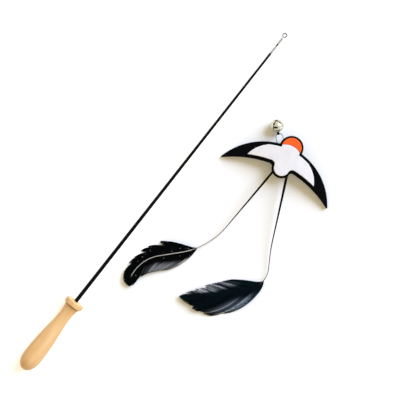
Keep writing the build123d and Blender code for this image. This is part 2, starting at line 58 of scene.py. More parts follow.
# Each feather lies in the lure's frame, in millimetres and degrees.
# root, heading: where and which way its shaft leaves the bird
# runs: the shaft's course, straight as (length,) or bent as (radius, turn)
# grey_along, grey_share: places along the wand between which the shaft's dye thins, and how far it does
# vane_start, reach: where the vane begins on that course, and how far out a share of 1 lies
# camber_aside: how far the crest of the vane's camber lies beside its chord
# fray: how ragged each edge is
# outer, inner: locks of barbs that cling together, as points of (share of the vane, share of reach)
FEATHERS = {
    "left": {
        "root": (25.4, 3.9),
        "heading": 180 - 13.9,
        "runs": [(98.0,), (86.0, -41.0), (26.5,), (44.0, 71.0)],
        "grey_along": (62.0, 22.0),
        "grey_share": 0.9,
        "vane_start": 141.0,
        "reach": 19.0,
        "camber_aside": -9.0,
        "fray": {"outer": 0.1, "inner": 0.1},
        "outer": [
            [(0.0, 0.0), (0.12, 0.30), (0.24, 0.60), (0.33, 0.77), (0.42, 0.87)],
            [(0.365, 0.30), (0.405, 0.48), (0.43, 0.60), (0.46, 0.66), (0.54, 0.735)],
            [(0.505, 0.38), (0.545, 0.54), (0.565, 0.65), (0.59, 0.69), (0.615, 0.67)],
            [(0.565, 0.22), (0.61, 0.38), (0.63, 0.47), (0.68, 0.56), (0.775, 0.56)],
            [
                (0.735, 0.16), (0.778, 0.32), (0.798, 0.41), (0.84, 0.50), (0.90, 0.47), (0.96, 0.30),
                (1.0, -0.08),
            ],
        ],
        "inner": [
            [
                (0.0, 0.0), (0.13, 0.31), (0.28, 0.74), (0.36, 0.92), (0.59, 0.85), (0.73, 0.66),
                (0.815, 0.55),
            ],
            [(0.775, 0.46), (0.89, 0.42), (0.96, 0.33), (1.0, 0.08)],
        ],
    },
    "right": {
        "root": (25.4, -6.7),
        "heading": 180 + 14.0,
        "runs": [(88.0,), (170.0, 6.0), (16.0,), (26.0, -59.7), (124.0, -26.0), (35.0,)],
        "grey_along": (40.0, 5.0),
        "grey_share": 0.6,
        "vane_start": 137.0,
        "reach": 21.6,
        "camber_aside": 12.0,
        "fray": {"outer": 1.0, "inner": 0.15},
        "outer": [
            [(0.0, 0.0), (0.10, 0.10), (0.24, 0.52), (0.37, 0.75), (0.55, 0.70), (0.70, 0.57)],
            [(0.69, 0.42), (0.76, 0.38), (0.82, 0.33)],
            [(0.80, 0.24), (0.87, 0.23), (0.92, 0.17)],
            [(0.90, 0.07), (0.96, 0.02), (1.0, -0.10)],
        ],
        "inner": [
            [(0.0, 0.0), (0.09, 0.12), (0.26, 0.58), (0.40, 0.91), (0.52, 0.99)],
            [(0.50, 0.86), (0.57, 0.98), (0.64, 1.07), (0.72, 0.95)],
            [(0.705, 0.85), (0.78, 0.85), (0.85, 0.72)],
            [(0.83, 0.60), (0.92, 0.40), (1.0, 0.10)],
        ],
    },
}

# Along the wand, in millimetres: the change of tone at a vane's base, and the dyed end of its rachis
RACHIS_FADE = 8.0
END_DYE_FROM = 16.0
END_DYE_TO = 10.0

# The vanes' arch, in millimetres
VANE_CREST = 5.4
VANE_THICKNESS = 0.5
CAMBER_RADIUS = 44.0
LOWEST_BARB = 0.12
BARB_UNEVENNESS = 0.08

# Steps along a barb, steps that the web holds, steps that it lets go where the edge is frayed,
# neighbours that took the dye and the painted sheen alike, and samples between two points of a lock
BARB_STEPS = 10
WEB_STEPS = 9
LOOSE_STEPS = 3
BARBS_TOGETHER = 3
EDGE_STEPS = 24

# A barb runs forward by its lean for each millimetre outwards, and leans more towards the vane's tip.
BARB_LEAN = 1.75
TIP_LEAN = 0.9
LEAN_DRIFT = 0.03
BARB_BEND = 1.45

# A barb's length is drawn between two shares of the outline's. Fraying widens that range, and grows from
# one share of the vane's length over a second one.
BARB_SHORTEST = 0.97
BARB_LONGEST = 1.01
FRAY_SHORTER = 0.14
FRAY_LONGER = 0.05
FRAY_FROM = 0.5
FRAY_SPAN = 0.2

# In millimetres, where the first barb leaves the shaft and how far a barb's end drifts. Roots crowd at the
# vane's base, and ends stray more at its tip, mostly over the last part of a barb.
FIRST_ROOT = -1.5
ROOT_SPREAD = 0.02
END_DRIFT = 0.3
TIP_STRAY = 1.5
STRAY_POWER = 4

# The cord's route, in millimetres: out of the seam, down to the whipping, round the bell's eye and back
CORD_ROUTE = [
    (137.22, 1.92, 11.91),
    (142.90, 11.30, 11.91),
    (148.60, 11.90, 6.00),
    (149.67, 12.94, 2.24),
    (151.34, 11.52, 2.24),
    (150.20, 10.10, 6.00),
    (151.30, 6.20, 12.14),
    (144.34, -0.24, 12.14),
]

# In millimetres: the whipping's middle and direction, and how far from that middle the wax is full and
# gone
WHIPPING_PLACE = Vector((149.536, 11.094, 5.296))
WHIPPING_WAY = Vector((-0.2852, -0.3340, 0.8984))
WAX_FULL = 2.4
WAX_GONE = 3.4

# Each felt layer: its piece, its slot, the size and area that it was cut to before it was arched, in
# millimetres, and what it lies on
FELT_LAYERS = {
    "lower_wing_sheet": ("lower_wing_felt", "black_felt", (141.0, 60.0), 3283.0, []),
    "upper_wing_sheet": ("upper_wing_felt", "black_felt", (141.0, 60.0), 3280.0, ["lower_wing_felt"]),
    "body_panel": ("body_felt", "white_felt", (88.0, 38.0), 1622.0, ["upper_wing_felt"]),
    "head_panel": ("head_felt", "orange_felt", (23.3, 16.3), 191.0, ["upper_wing_felt"]),
}

# The felt's lumps: their width in millimetres, and their share of the height
FELT_LUMPS = ((4.0, 1.0), (1.3, 0.5))

# The direction on the floor that runs to the right in the picture
VIEW_RIGHT = (0.61690, -0.78704)

# The floor's half width in metres, how far below the object it lies in millimetres, and its own glow,
# which grows between two places across the wand, in millimetres
FLOOR_REACH = 4.0
FLOOR_DROP = 0.05
GLOW_FROM = 40.0
GLOW_TO = 66.0
GLOW_LEAST = 0.09
GLOW_MOST = 0.5

# The window's light
WINDOW_SPREAD = math.radians(40)
WINDOW_HEIGHT = math.radians(35)
WINDOW_BEARING = math.radians(-16)

# The room that polished metal shows: a pale surround with the bright window, and three dark shapes across
# from it. Each patch has a direction, the degrees within which it is full and past which it is gone,
# and a tone.
WINDOW_TONE = (1.7, 1.7, 1.7, 1.0)
DARK_TONE = (0.03, 0.025, 0.02, 1.0)
ROOM_PATCHES = (
    (Vector((0.778, -0.218, 0.588)), 22, 34, WINDOW_TONE),
    (Vector((-0.845, 0.446, 0.290)), 16, 24, DARK_TONE),
    (Vector((-0.689, 0.036, 0.722)), 17, 25, DARK_TONE),
    (Vector((-0.480, -0.290, 0.828)), 13, 20, DARK_TONE),
)


# Sizes and colours that a user may change

def linear(code):
    """An sRGB hex value as the linear colour that Blender works in."""
    channels = []
    for start in (0, 2, 4):
        value = int(code[start:start + 2], 16) / 255
        channels.append(value / 12.92 if value <= 0.04045 else ((value + 0.055) / 1.055) ** 2.4)
    return tuple(channels)


def colour(name, description, code):
    """A colour property with an sRGB hex default."""
    return bpy.props.FloatVectorProperty(
        name=name, description=description, subtype="COLOR", size=3, min=0.0, max=1.0,
        default=linear(code),
    )


def length(name, description, millimetres):
    """A length property with a default in millimetres."""
    return bpy.props.FloatProperty(
        name=name, description=description, unit="LENGTH", subtype="DISTANCE", precision=5, min=0.0,
        default=millimetres * MM,
    )


def position(name, description, millimetres):
    """A place along one direction, which may be negative, with a default in millimetres."""
    return bpy.props.FloatProperty(
        name=name, description=description, unit="LENGTH", precision=5, default=millimetres * MM,
    )


class TeaserWand(bpy.types.PropertyGroup):
    """Finishes of the handle, the rod and all metal."""

    beech_pale: colour("Pale beech", "Lightest wood between the growth bands", "EFC78E")
    beech_tan: colour("Tan beech", "Darker growth bands", "E3AF70")
    beech_fleck: colour("Ray fleck", "Short dark flecks along the grain", "C48F50")
    # Painted shade: a dark line, painted into the wood's colour, where the collar shades the step below it
    beech_step_shade: colour("Painted step shade", "Shade painted into the step under the collar", "9C6C38")
    step_shade_place: position("Painted step shade place", "Painted step shade along the wand", -156.9)
    step_shade_width: length("Painted step shade width", "Width of the painted step shade", 1.0)
    band_width: length("Band width", "Width of a growth band across the handle", 4.0)
    fleck_length: length("Fleck length", "Length of a ray fleck along the handle", 5.0)
    fibreglass: colour("Fibreglass", "The rod's pigmented resin", "040405")
    nickel: colour("Nickel", "Plated metal of the wand's fittings", "B8B6B2")
    wire: colour("Ring wire", "Bare steel wire of the tip ring", "6E6D69")
    bell_nickel: colour("Bell nickel", "Plated metal of the bell", "D9D2BC")
    black_steel: colour("Blackened steel", "The swivel's pin", "060607")


class TeaserFelt(bpy.types.PropertyGroup):
    """The lure's felt layers."""

    black: colour("Black felt", "The two wing sheets", "060608")
    white: colour("White felt", "The body panel", "F3F1F4")
    orange: colour("Orange felt", "The head panel", "FF6A30")
    voxel: length("Grain", "Size of the facets of a felt layer", 0.42)
    fibre: length("Fibre", "Width of a tuft of fibres in the felt", 0.5)
    lump: length("Lump", "Height of the felt's unevenness", 0.05)
    passes: bpy.props.IntProperty(
        name="Edge passes", description="How far a layer's cut edge is rounded",
        default=3, min=0, max=12,
    )


class TeaserFeathers(bpy.types.PropertyGroup):
    """The vanes' barbs and the quills."""

    barb_spacing: length("Barb spacing", "Distance between the barbs' ends along the edge", 0.36)
    barb_width: length("Barb width", "Width of a barb at the rachis", 0.5)
    barb_thickness: length("Barb thickness", "Thickness of a barb at the rachis", 0.16)
    barb_tip: bpy.props.FloatProperty(
        name="Barb tip", description="Width of a barb's tip as a share of its root",
        default=0.3, min=0.0, max=1.0,
    )
    web: length("Web", "Thickness of the barbules that hold the barbs together", 0.1)
    black: colour("Feather black", "Dyed barbs", "020304")
    slate: colour("Slate", "Thinly dyed barbs", "989CA3")
    # Painted sheen: the right vane's barbs are tinted towards this colour at random, standing in for their
    # iridescence
    teal: colour("Teal", "Tint of the right vane's lighter barbs", "031117")
    # Painted sheen: a steel-blue gloss painted into the colour of the right vane's inner half
    steel: colour("Steel blue", "Gloss on the right vane's inner half", "6F8198")
    down: colour("Down", "Pale flecks and barbs that took no dye", "E6E4DE")
    quill_dark: colour("Dark quill", "Dyed shaft near the bird", "030303")
    quill_grey: colour("Grey quill", "Shaft where the dye is thin", "7C7974")
    rachis_pale: colour("Pale rachis", "The left vane's undyed rachis", "CFCCC5")
    seed: bpy.props.IntProperty(
        name="Seed", description="Seed of the barbs' small differences", default=11,
    )


class TeaserCord(bpy.types.PropertyGroup):
    """The cord loop and the thread whipped round it."""

    diameter: length("Cord diameter", "Thickness of the cord", 0.8)
    thread: length("Thread diameter", "Thickness of the whipping thread", 0.42)
    turns: bpy.props.IntProperty(
        name="Turns", description="Turns of thread in the whipping", default=6, min=2, max=20,
    )
    whipping_width: length("Whipping width", "Outside width of the whipping", 2.8)
    whipping_length: length("Whipping length", "Length of the whipping along the cord", 2.8)
    grey: colour("Cord grey", "Twisted cotton cord", "6E6A66")
    black: colour("Thread black", "Waxed whipping thread", "040404")


class TeaserStage(bpy.types.PropertyGroup):
    """Floor, light and camera."""

    floor: colour("Floor", "Plain paper floor", "F7F6F3")
    camera_x: position("Camera X", "Camera along the wand", 31.8)
    camera_y: position("Camera Y", "Camera across the wand", 35.33)
    camera_height: length("Camera height", "Camera above the floor", 1100.0)
    view_width: length("View width", "Width of floor that the camera sees", 470.3)
    key_energy: bpy.props.FloatProperty(
        name="Key light", description="Strength of the window light", default=4.35,
    )
    key: colour("Key colour", "Cool daylight from the window", "C8DCFF")
    ambient: colour("Ambient", "Warm light from all round the room", "C8B68A")


# Finishes

def add(tree, kind, inputs=None, **settings):
    """A node with its settings, and its inputs set to values or linked to sockets."""
    made = tree.nodes.new(kind)
    for name, value in settings.items():
        setattr(made, name, value)
    for key, value in (inputs or {}).items():
        if isinstance(value, bpy.types.NodeSocket):
            tree.links.new(value, made.inputs[key])
        else:
            made.inputs[key].default_value = value
    return made


def finish(tree, shader, tone, gloss=None, relief=None):
    """Joins a material's tone to its shader, with patterns that vary its gloss and raise its surface.

    gloss is (pattern, roughness at 0, roughness at 1), and relief is (pattern, strength, millimetres).
    """
    tree.links.new(tone, shader.inputs["Base Color"])
    if gloss:
        pattern, low, high = gloss
        rough = add(tree, "ShaderNodeMapRange", {"Value": pattern, "To Min": low, "To Max": high})
        tree.links.new(rough.outputs[0], shader.inputs["Roughness"])
    if relief:
        pattern, strength, height = relief
        raised = add(
            tree, "ShaderNodeBump", {"Height": pattern, "Strength": strength, "Distance": height * MM}
        )
        tree.links.new(raised.outputs[0], shader.inputs["Normal"])


def rgba(values):
    """An opaque colour, as sockets take it."""
    return (*values, 1.0)


def shaded(hue, factor):
    """The same colour made darker or brighter, and opaque."""
    return rgba(min(1.0, channel * factor) for channel in hue)


def start_material(name, **uniform):
    """A material with one shader, its even values on the shader's own sockets.

    It comes with its tree, its shader and the piece's own coordinates.
    """
    material = bpy.data.materials.new(name)
    material.use_nodes = True
    tree = material.node_tree
    tree.nodes.clear()
    even = {key.replace("_", " "): value for key, value in uniform.items()}
    shader = add(tree, "ShaderNodeBsdfPrincipled", even)
    add(tree, "ShaderNodeOutputMaterial", {"Surface": shader.outputs["BSDF"]})
    place = add(tree, "ShaderNodeTexCoord").outputs["Object"]
    return material, tree, shader, place


def turned_beech(look):
    """Beech turned on a lathe and oiled.

    Straw wood with soft bands along the grain, short dark flecks, and a dark line of painted shade in the
    step under the collar.
    """
    material, tree, shader, place = start_material("turned_beech", Coat_Weight=0.1, Coat_Roughness=0.4)
    # A band runs along the handle for 22 times its width.
    band = 1 / look.band_width
    grain = add(tree, "ShaderNodeMapping", {"Vector": place, "Scale": (band / 22, band, band)})
    bands = add(
        tree, "ShaderNodeTexNoise",
        {"Vector": grain.outputs[0], "Scale": 1.0, "Detail": 5.0, "Roughness": 0.55, "Distortion": 0.4},
    )
    # Real flecks are under half a millimetre wide, and are drawn wider so that they show.
    fleck = 1 / look.fleck_length
    lengthwise = add(
        tree, "ShaderNodeMapping", {"Vector": place, "Scale": (fleck, fleck * 7, fleck * 7)}
    )
    flecks = add(
        tree, "ShaderNodeTexNoise", {"Vector": lengthwise.outputs[0], "Scale": 1.0, "Detail": 2.0}
    )
    fleck_mask = add(
        tree, "ShaderNodeMapRange",
        {"Value": flecks.outputs[0], "From Min": 0.60, "From Max": 0.76, "To Min": 0.0, "To Max": 0.3},
    )
    band_mask = add(
        tree, "ShaderNodeMapRange", {"Value": bands.outputs[0], "From Min": 0.28, "From Max": 0.72}
    )
    wood = add(
        tree, "ShaderNodeMix",
        {0: band_mask.outputs[0], 6: rgba(look.beech_pale), 7: rgba(look.beech_tan)}, data_type="RGBA",
    )
    flecked = add(
        tree, "ShaderNodeMix",
        {0: fleck_mask.outputs[0], 6: wood.outputs[2], 7: rgba(look.beech_fleck)}, data_type="RGBA",
    )
    # The painted shade line in the step under the collar is full at its middle and fades out a little past
    # its edges.
    along = add(tree, "ShaderNodeSeparateXYZ", {0: place})
    offset = add(tree, "ShaderNodeMath", {0: along.outputs[0], 1: look.step_shade_place}, operation="SUBTRACT")
    distance = add(tree, "ShaderNodeMath", {0: offset.outputs[0]}, operation="ABSOLUTE")
    step_shade_mask = add(
        tree, "ShaderNodeMapRange",
        {
            "Value": distance.outputs[0], "From Min": look.step_shade_width * 0.6,
            "From Max": look.step_shade_width * 0.3,
        },
    )
    step_shaded_wood = add(
        tree, "ShaderNodeMix",
        {0: step_shade_mask.outputs[0], 6: flecked.outputs[2], 7: rgba(look.beech_step_shade)}, data_type="RGBA",
    )
    gloss = (bands.outputs[0], 0.38, 0.58)
    relief = (flecks.outputs[0], 0.25, 0.1)
    finish(tree, shader, step_shaded_wood.outputs[2], gloss, relief)
    return material


def pultruded_fibreglass(look):
    """Black fibreglass rod, ground to a taper: satin resin with fine fibre streaks along it."""
    material, tree, shader, place = start_material("pultruded_fibreglass", Specular_IOR_Level=0.08)
    # A streak runs 30 mm along the rod, and is drawn half a millimetre wide so that it shows.
    along, across = 1 / (30 * MM), 1 / (0.5 * MM)
    streaks = add(tree, "ShaderNodeMapping", {"Vector": place, "Scale": (along, across, across)})
    fibre = add(
        tree, "ShaderNodeTexNoise", {"Vector": streaks.outputs[0], "Scale": 1.0, "Detail": 3.0}
    )
    tone = add(
        tree, "ShaderNodeMix",
        {0: fibre.outputs[0], 6: shaded(look.fibreglass, 0.55), 7: rgba(look.fibreglass)},
        data_type="RGBA",
    )
    gloss = (fibre.outputs[0], 0.3, 0.42)
    relief = (fibre.outputs[0], 0.3, 0.05)
    finish(tree, shader, tone.outputs[2], gloss, relief)
    return material


def polished_metal(name, hue):
    """Nickel plate on pressed metal, or drawn steel wire: mirror-like with faint handling marks."""
    material, tree, shader, place = start_material(name, Metallic=1.0)
    marks = add(
        tree, "ShaderNodeTexNoise",
        {"Vector": place, "Scale": 1 / (2.2 * MM), "Detail": 4.0, "Roughness": 0.6},
    )
    tone = add(
        tree, "ShaderNodeMix", {0: marks.outputs[0], 6: shaded(hue, 0.92), 7: rgba(hue)}, data_type="RGBA"
    )
    gloss = (marks.outputs[0], 0.06, 0.2)
    relief = (marks.outputs[0], 0.05, 0.05)
    finish(tree, shader, tone.outputs[2], gloss, relief)
    return material


def blackened_steel(look):
    """Oil-blackened steel: near black, with brighter rubbed spots."""
    material, tree, shader, place = start_material("blackened_steel", Specular_IOR_Level=0.08)
    rubbed = add(tree, "ShaderNodeTexNoise", {"Vector": place, "Scale": 1 / (0.8 * MM), "Detail": 3.0})
    tone = add(
        tree, "ShaderNodeMix",
        {0: rubbed.outputs[0], 6: rgba(look.black_steel), 7: shaded(look.black_steel, 3)},
        data_type="RGBA",
    )
    finish(tree, shader, tone.outputs[2], gloss=(rubbed.outputs[0], 0.35, 0.55))
    return material


def wool_felt(name, hue, look):
    """Pressed wool felt: matted fibres that break up the colour and leave a soft nap."""
    material, tree, shader, place = start_material(name, Roughness=0.95, Specular_IOR_Level=0.05)
    tufts = add(
        tree, "ShaderNodeTexNoise",
        {"Vector": place, "Scale": 1 / look.fibre, "Detail": 6.0, "Roughness": 0.7, "Distortion": 1.2},
    )
    patches = add(tree, "ShaderNodeTexNoise", {"Vector": place, "Scale": 1 / (9 * MM), "Detail": 2.0})
    both = add(
        tree, "ShaderNodeMath", {0: tufts.outputs[0], 1: patches.outputs[0]}, operation="MULTIPLY"
    )
    mask = add(
        tree, "ShaderNodeMapRange", {"Value": both.outputs[0], "From Min": 0.12, "From Max": 0.36}
    )
    tone = add(
        tree, "ShaderNodeMix", {0: mask.outputs[0], 6: shaded(hue, 0.9), 7: rgba(hue)}, data_type="RGBA"
    )
    finish(tree, shader, tone.outputs[2], relief=(tufts.outputs[0], 0.5, 0.15))
    return material


def quill_keratin(name, look, feather, rachis_hue):
    """Dyed feather shaft: smooth horn.

    It is black at the bird, greyer as the dye thins, and has its own tone along the vane.
    """
    material, tree, shader, place = start_material(name, Specular_IOR_Level=0.04)
    along = add(tree, "ShaderNodeSeparateXYZ", {0: place})
    grey_from, grey_to = feather["grey_along"]
    fade = add(
        tree, "ShaderNodeMapRange",
        {
            "Value": along.outputs[0], "From Min": grey_from * MM, "From Max": grey_to * MM,
            "To Max": feather["grey_share"],
        },
    )
    streak = add(tree, "ShaderNodeTexNoise", {"Vector": place, "Scale": 1 / (1.5 * MM), "Detail": 3.0})
    uneven = add(
        tree, "ShaderNodeMapRange", {"Value": streak.outputs[0], "To Min": 0.7, "To Max": 1.2}
    )
    amount = add(
        tree, "ShaderNodeMath", {0: fade.outputs[0], 1: uneven.outputs[0]},
        operation="MULTIPLY", use_clamp=True,
    )
    tone = add(
        tree, "ShaderNodeMix",
        {0: amount.outputs[0], 6: rgba(look.quill_dark), 7: rgba(look.quill_grey)}, data_type="RGBA",
    )
    base = route_point(feather, feather["vane_start"])[0].x
    bare = add(
        tree, "ShaderNodeMapRange",
        {"Value": along.outputs[0], "From Min": base * MM, "From Max": (base - RACHIS_FADE) * MM},
    )
    rachis = add(
        tree, "ShaderNodeMix", {0: bare.outputs[0], 6: tone.outputs[2], 7: rgba(rachis_hue)},
        data_type="RGBA",
    )
    tip = route_point(feather, route_length(feather))[0].x
    dyed = add(
        tree, "ShaderNodeMapRange",
        {
            "Value": along.outputs[0], "From Min": (tip + END_DYE_FROM) * MM,
            "From Max": (tip + END_DYE_TO) * MM,
        },
    )
    ended = add(
        tree, "ShaderNodeMix", {0: dyed.outputs[0], 6: rachis.outputs[2], 7: rgba(look.black)},
        data_type="RGBA",
    )
    finish(tree, shader, ended.outputs[2], gloss=(streak.outputs[0], 0.35, 0.55))
    return material


def barbs_dye_and_sheen(name, look, sheen_hue, patches, fleck_share):
    """Barbs dyed black: solid where they lie close.

    They show streaked patches of thin dye and a few pale flecks of down. On the right vane, a teal sheen
    and a steel-blue sheen are painted into their colour.
    """
    material, tree, shader, place = start_material(name, Specular_IOR_Level=0.02)
    read = {
        label: add(tree, "ShaderNodeAttribute", attribute_name=f"barb_{label}").outputs["Fac"]
        for label in ("shade", "side", "along", "share")
    }
    tone = add(
        # Each barb is mixed at random between black and the sheen hue; on the right vane this paints a
        # teal sheen.
        tree, "ShaderNodeMix", {0: read["shade"], 6: rgba(look.black), 7: rgba(sheen_hue)},
        data_type="RGBA",
    ).outputs[2]
    # A patch fades in and out along the vane and along each barb, and shows more on barbs of a higher
    # shade. Most patches are barbs that took less dye; the steel-blue patch is a painted sheen.
    for hue, side, shares, lengthwise, (bare_shade, strength) in patches:
        other = add(tree, "ShaderNodeMath", {0: read["side"], 1: 1.0 - side}, operation="SUBTRACT")
        factor = add(tree, "ShaderNodeMath", {0: other.outputs[0]}, operation="ABSOLUTE").outputs[0]
        for value, (low, high), softest in (
            (read["share"], shares, 0.08),
            (read["along"], lengthwise, 0.16),
        ):
            soft = min(softest, (high - low) / 2)
            for edge, ramp in ((low, soft), (high, -soft)):
                step = add(
                    tree, "ShaderNodeMapRange",
                    {"Value": value, "From Min": edge - ramp, "From Max": edge + ramp},
                    interpolation_type="SMOOTHSTEP",
                )
                factor = add(
                    tree, "ShaderNodeMath", {0: factor, 1: step.outputs[0]}, operation="MULTIPLY"
                ).outputs[0]
        bare = add(
            tree, "ShaderNodeMapRange",
            {"Value": read["shade"], "From Min": bare_shade, "From Max": 1.0, "To Max": strength},
        )
        factor = add(
            tree, "ShaderNodeMath", {0: factor, 1: bare.outputs[0]}, operation="MULTIPLY"
        ).outputs[0]
        tone = add(
            tree, "ShaderNodeMix", {0: factor, 6: tone, 7: rgba(hue)}, data_type="RGBA"
        ).outputs[2]
    # Flecks lie about 4 mm apart.
    dots = add(tree, "ShaderNodeTexVoronoi", {"Vector": place, "Scale": 1 / (4.0 * MM)})
    fleck = add(
        tree, "ShaderNodeMapRange",
        {"Value": dots.outputs["Distance"], "From Min": 0.1, "From Max": 0.06, "To Max": fleck_share},
    )
    flecked = add(
        tree, "ShaderNodeMix", {0: fleck.outputs[0], 6: tone, 7: rgba(look.down)}, data_type="RGBA"
    )
    finish(tree, shader, flecked.outputs[2], gloss=(read["shade"], 0.6, 0.4))
    return material


def spun_cotton(name, hue, fibre, waxed):
    """Spun cotton: fine slanted plies with a soft, matt nap, darkened by wax close to the whipping."""
    material, tree, shader, place = start_material(name, Roughness=0.85, Specular_IOR_Level=0.1)
    # The wave repeats every 0.314 / Scale, so a ply comes out a little under two fibres wide.
    plies = add(tree, "ShaderNodeMapping", {"Vector": place, "Rotation": (0.6, 0.5, 0.3)})
    twist = add(
        tree, "ShaderNodeTexWave",
        {"Vector": plies.outputs[0], "Scale": 1 / fibre / 6, "Distortion": 2.0, "Detail": 2.0},
    )
    tone = add(
        tree, "ShaderNodeMix", {0: twist.outputs[1], 6: shaded(hue, 0.6), 7: rgba(hue)}, data_type="RGBA"
    )
    away = add(
        tree, "ShaderNodeVectorMath", {0: place, 1: WHIPPING_PLACE * MM}, operation="DISTANCE"
    )
    wax = add(
        tree, "ShaderNodeMapRange",
        {"Value": away.outputs["Value"], "From Min": WAX_GONE * MM, "From Max": WAX_FULL * MM},
    )
    darkened = add(
        tree, "ShaderNodeMix", {0: wax.outputs[0], 6: tone.outputs[2], 7: rgba(waxed)}, data_type="RGBA"
    )
    finish(tree, shader, darkened.outputs[2], relief=(twist.outputs[1], 0.6, 0.1))
    return material


def dress(material, *names):
    """Gives CAD nodes their finish."""
    for name in names:
        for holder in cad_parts[name].material_slots:
            holder.material = material


# Making pieces

def new_object(name, data):
    """An object in the scene that holds this mesh, curve, light or camera."""
    made = bpy.data.objects.new(name, data)
    bpy.context.scene.collection.objects.link(made)
    return made


def settle(piece):
    """Turns a piece's modifiers into its plain mesh."""
    bpy.context.view_layer.update()
    evaluated = piece.evaluated_get(bpy.context.evaluated_depsgraph_get())
    mesh = bpy.data.meshes.new_from_object(evaluated)
    piece.modifiers.clear()
    piece.data = mesh
    return piece


def grow(piece, tree, values):
    """Runs a node tree on a piece with its named inputs set, and keeps the result as a plain mesh."""
    modifier = piece.modifiers.new(tree.name, "NODES")
    modifier.node_group = tree
    for item in tree.interface.items_tree:
        if item.item_type == "SOCKET" and item.in_out == "INPUT" and item.name in values:
            modifier[item.identifier] = values[item.name]
    return settle(piece)


def start_tree(name, inputs):
    """A geometry tree with named inputs, and the sockets that bring these in."""
    tree = bpy.data.node_groups.new(name, "GeometryNodeTree")
    tree.interface.new_socket(name="Geometry", in_out="INPUT", socket_type="NodeSocketGeometry")
    for label in inputs:
        tree.interface.new_socket(name=label, in_out="INPUT", socket_type="NodeSocketFloat")
    tree.interface.new_socket(name="Material", in_out="INPUT", socket_type="NodeSocketMaterial")
    tree.interface.new_socket(name="Geometry", in_out="OUTPUT", socket_type="NodeSocketGeometry")
    return tree, add(tree, "NodeGroupInput").outputs


def end_tree(tree, given, geometry):
    """Smooths, realises and paints the geometry, as every tree here ends."""
    smooth = add(tree, "GeometryNodeSetShadeSmooth", {"Geometry": geometry})
    real = add(tree, "GeometryNodeRealizeInstances", {"Geometry": smooth.outputs[0]})
    painted = add(
        tree, "GeometryNodeSetMaterial", {"Geometry": real.outputs[0], "Material": given["Material"]}
    )
    add(tree, "NodeGroupOutput", {"Geometry": painted.outputs[0]})
    return tree


def barb_tree():
    """Turns guide lines into flat barbs that narrow towards their tips."""
    tree, given = start_tree("Feather barbs", ("Barb Width", "Barb Thickness", "Tip Share"))
    lines = add(tree, "GeometryNodeMeshToCurve", {"Mesh": given["Geometry"]})
    level = add(tree, "GeometryNodeSetCurveNormal", {"Curve": lines.outputs[0]}, mode="Z_UP")
    along = add(tree, "GeometryNodeInputNamedAttribute", {"Name": "barb_along"}, data_type="FLOAT")
    taper = add(
        tree, "ShaderNodeMapRange",
        {"Value": along.outputs[0], "To Min": 1.0, "To Max": given["Tip Share"]},
    )
    sized = add(
        tree, "GeometryNodeSetCurveRadius", {"Curve": level.outputs[0], "Radius": taper.outputs[0]}
    )
    section = add(tree, "GeometryNodeCurvePrimitiveCircle", {"Resolution": 4, "Radius": 0.5})
    flat = add(
        tree, "ShaderNodeCombineXYZ", {0: given["Barb Width"], 1: given["Barb Thickness"], 2: 1.0}
    )
    shaped = add(
        tree, "GeometryNodeTransform", {"Geometry": section.outputs[0], "Scale": flat.outputs[0]}
    )
    barbs = add(
        tree, "GeometryNodeCurveToMesh",
        {"Curve": sized.outputs[0], "Profile Curve": shaped.outputs[0], "Fill Caps": True},
    )
    return end_tree(tree, given, barbs.outputs[0])


def whipping_tree():
    """A thread wound in a close spiral, with flat turns that close its ends round the cord."""
    tree, given = start_tree(
        "Thread whipping", ("Turns", "Coil Radius", "Coil Height", "Thread Radius", "End Turns")
    )
    coil = add(
        tree, "GeometryNodeCurveSpiral",
        {
            "Resolution": 24, "Rotations": given["Turns"], "Start Radius": given["Coil Radius"],
            "End Radius": given["Coil Radius"], "Height": given["Coil Height"],
        },
    )
    foot = add(
        tree, "GeometryNodeCurveSpiral",
        {
            "Resolution": 24, "Rotations": given["End Turns"], "Start Radius": given["Coil Radius"],
            "End Radius": given["Thread Radius"], "Height": 0.0,
        },
    )
    lift = add(tree, "ShaderNodeCombineXYZ", {2: given["Coil Height"]})
    head = add(
        tree, "GeometryNodeTransform", {"Geometry": foot.outputs[0], "Translation": lift.outputs[0]}
    )
    wound = add(tree, "GeometryNodeJoinGeometry")
    for turns in (coil, foot, head):
        tree.links.new(turns.outputs[0], wound.inputs[0])
    section = add(
        tree, "GeometryNodeCurvePrimitiveCircle", {"Resolution": 8, "Radius": given["Thread Radius"]}
    )
    thread = add(
        tree, "GeometryNodeCurveToMesh",
        {"Curve": wound.outputs[0], "Profile Curve": section.outputs[0], "Fill Caps": True},
    )
    return end_tree(tree, given, thread.outputs[0])


# The feathers' shapes

def lure_point(x, y):
    """A place of the lure's own frame on the floor, in millimetres."""
    cos, sin = math.cos(BIRD_TURN), math.sin(BIRD_TURN)
    return BIRD_PLACE + Vector((x * cos - y * sin, x * sin + y * cos))


def run_length(run):
    """Length of a straight or a bent run, in millimetres."""
    return run[0] if len(run) == 1 else run[0] * math.radians(abs(run[1]))


def route_length(feather):
    """Length of a feather's whole course, in millimetres."""
    return sum(run_length(run) for run in feather["runs"])


def route_point(feather, along):
    """Place and heading on a feather's course, this many millimetres from its root."""
    place = Vector(feather["root"])
    heading = math.radians(feather["heading"])
    for run in feather["runs"]:
        last = run is feather["runs"][-1]
        step = along if last else min(along, run_length(run))
        if len(run) == 1:
            place += Vector((math.cos(heading), math.sin(heading))) * step
        else:
            turn = math.copysign(step / run[0], run[1])
            side = math.copysign(run[0], run[1])
            centre = place + Vector((-math.sin(heading), math.cos(heading))) * side
            heading += turn
            place = centre - Vector((-math.sin(heading), math.cos(heading))) * side
        along -= step
        if along <= 0:
            break
    return lure_point(*place), heading + BIRD_TURN


